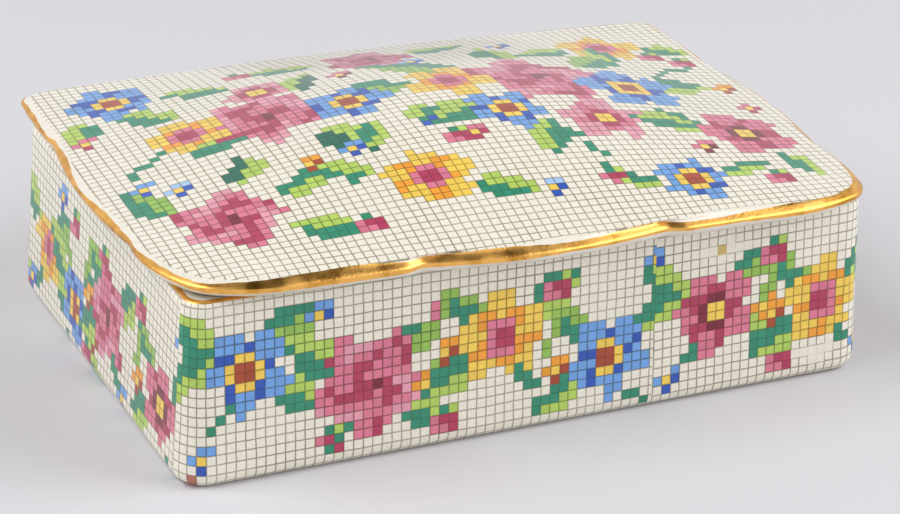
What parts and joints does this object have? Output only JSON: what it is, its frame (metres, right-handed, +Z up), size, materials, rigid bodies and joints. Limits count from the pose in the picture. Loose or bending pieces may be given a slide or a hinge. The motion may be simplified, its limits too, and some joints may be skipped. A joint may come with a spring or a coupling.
{
  "type": "lidded candy box",
  "caption": "Low rectangular lidded candy box in glazed earthenware: leaning walls, a cushion-domed lift-off lid with a wavy gilt edge, and a flange that seats it.",
  "frame": {"origin": "middle of the box's underside, on the surface it stands on", "axes": "+X runs along the long front to the right, +Y away from the viewer, +Z up"},
  "size_m": [0.173, 0.1262, 0.0582],
  "materials": {
    "glazed_box": "glossy cream glaze over a printed pattern of small squares, with a gilt line at the top edge",
    "glazed_lid": "glossy cream glaze over a printed pattern of small squares, with a gilt rim"
  },
  "bodies": {
    "root": {"box": "glazed_box", "lid": "glazed_lid"}
  },
  "joints": []
}
